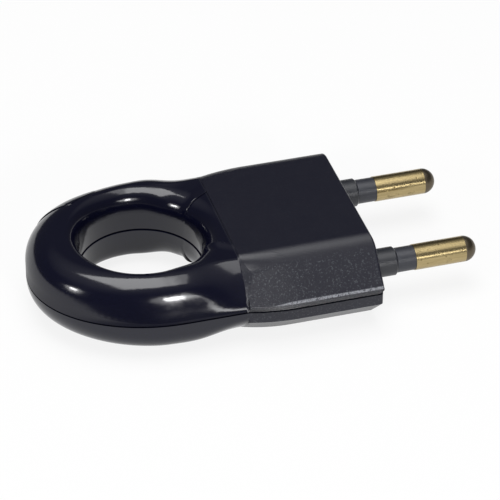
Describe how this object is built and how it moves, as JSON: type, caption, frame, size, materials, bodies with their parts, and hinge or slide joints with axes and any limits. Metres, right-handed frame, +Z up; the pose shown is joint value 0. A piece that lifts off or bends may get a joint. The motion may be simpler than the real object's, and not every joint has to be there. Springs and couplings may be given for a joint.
{
  "type": "two-pin plug",
  "caption": "Flat two-pin mains plug with a finger ring behind the body, in two screwed half shells, with sleeved round brass pins.",
  "frame": {"origin": "centre of the engagement face, midway between the pins, on the parting plane through both pin axes", "axes": "+X along the pins to their tips, +Y across the pins to the left seen from behind, +Z up out of the body's flat top"},
  "size_m": [0.0677, 0.0354, 0.0131],
  "materials": {
    "shell": "glossy on the ring, fine spark-eroded satin on the body",
    "pin": "drawn brass, satin with lengthwise streaks",
    "sleeve": "dark grey insulating sleeve",
    "steel": "zinc-plated steel",
    "brass_nut": "turned brass",
    "clamp": "moulded plastic"
  },
  "bodies": {
    "root": {"upper_shell": "shell", "lower_shell": "shell", "cord_clamp": "clamp", "pin_left": "pin", "pin_sleeve_left": "sleeve", "pin_collar_left": "sleeve", "terminal_screw_left": "steel", "pin_right": "pin", "pin_sleeve_right": "sleeve", "pin_collar_right": "sleeve", "terminal_screw_right": "steel", "clamp_screw_outer": "steel", "clamp_screw_inner": "steel", "closing_screw_front": "steel", "closing_nut_front": "brass_nut", "closing_screw_rear": "steel", "closing_nut_rear": "brass_nut"}
  },
  "joints": []
}
